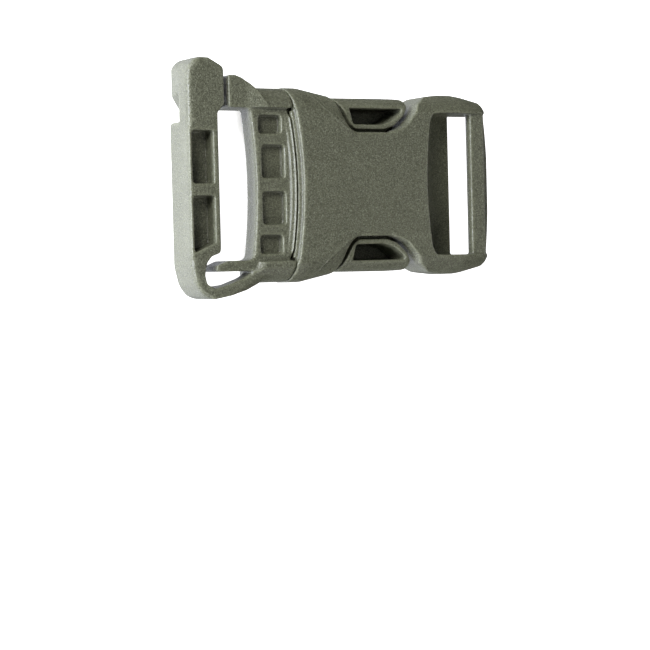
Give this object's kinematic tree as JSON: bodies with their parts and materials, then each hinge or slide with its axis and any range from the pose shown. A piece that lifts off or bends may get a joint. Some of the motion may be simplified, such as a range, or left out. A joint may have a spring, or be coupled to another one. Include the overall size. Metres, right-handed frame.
{
  "type": "side release buckle",
  "caption": "Side release buckle shown fastened: domed socket with two squeeze openings, plug with pocketed crossbar and an open split bar for webbing.",
  "frame": {"origin": "middle of the buckle's outline, on the flat back that it lies on", "axes": "+X along the webbing from the split bar to the socket's webbing bar, +Y across the webbing towards the open head, +Z out of the domed front"},
  "size_m": [0.063, 0.0419, 0.0098],
  "materials": {
    "socket_plastic": "fine spark-eroded texture, grey green",
    "plug_plastic": "fine spark-eroded texture, grey green"
  },
  "bodies": {
    "root": {"socket": "socket_plastic", "plug": "plug_plastic"}
  },
  "joints": []
}
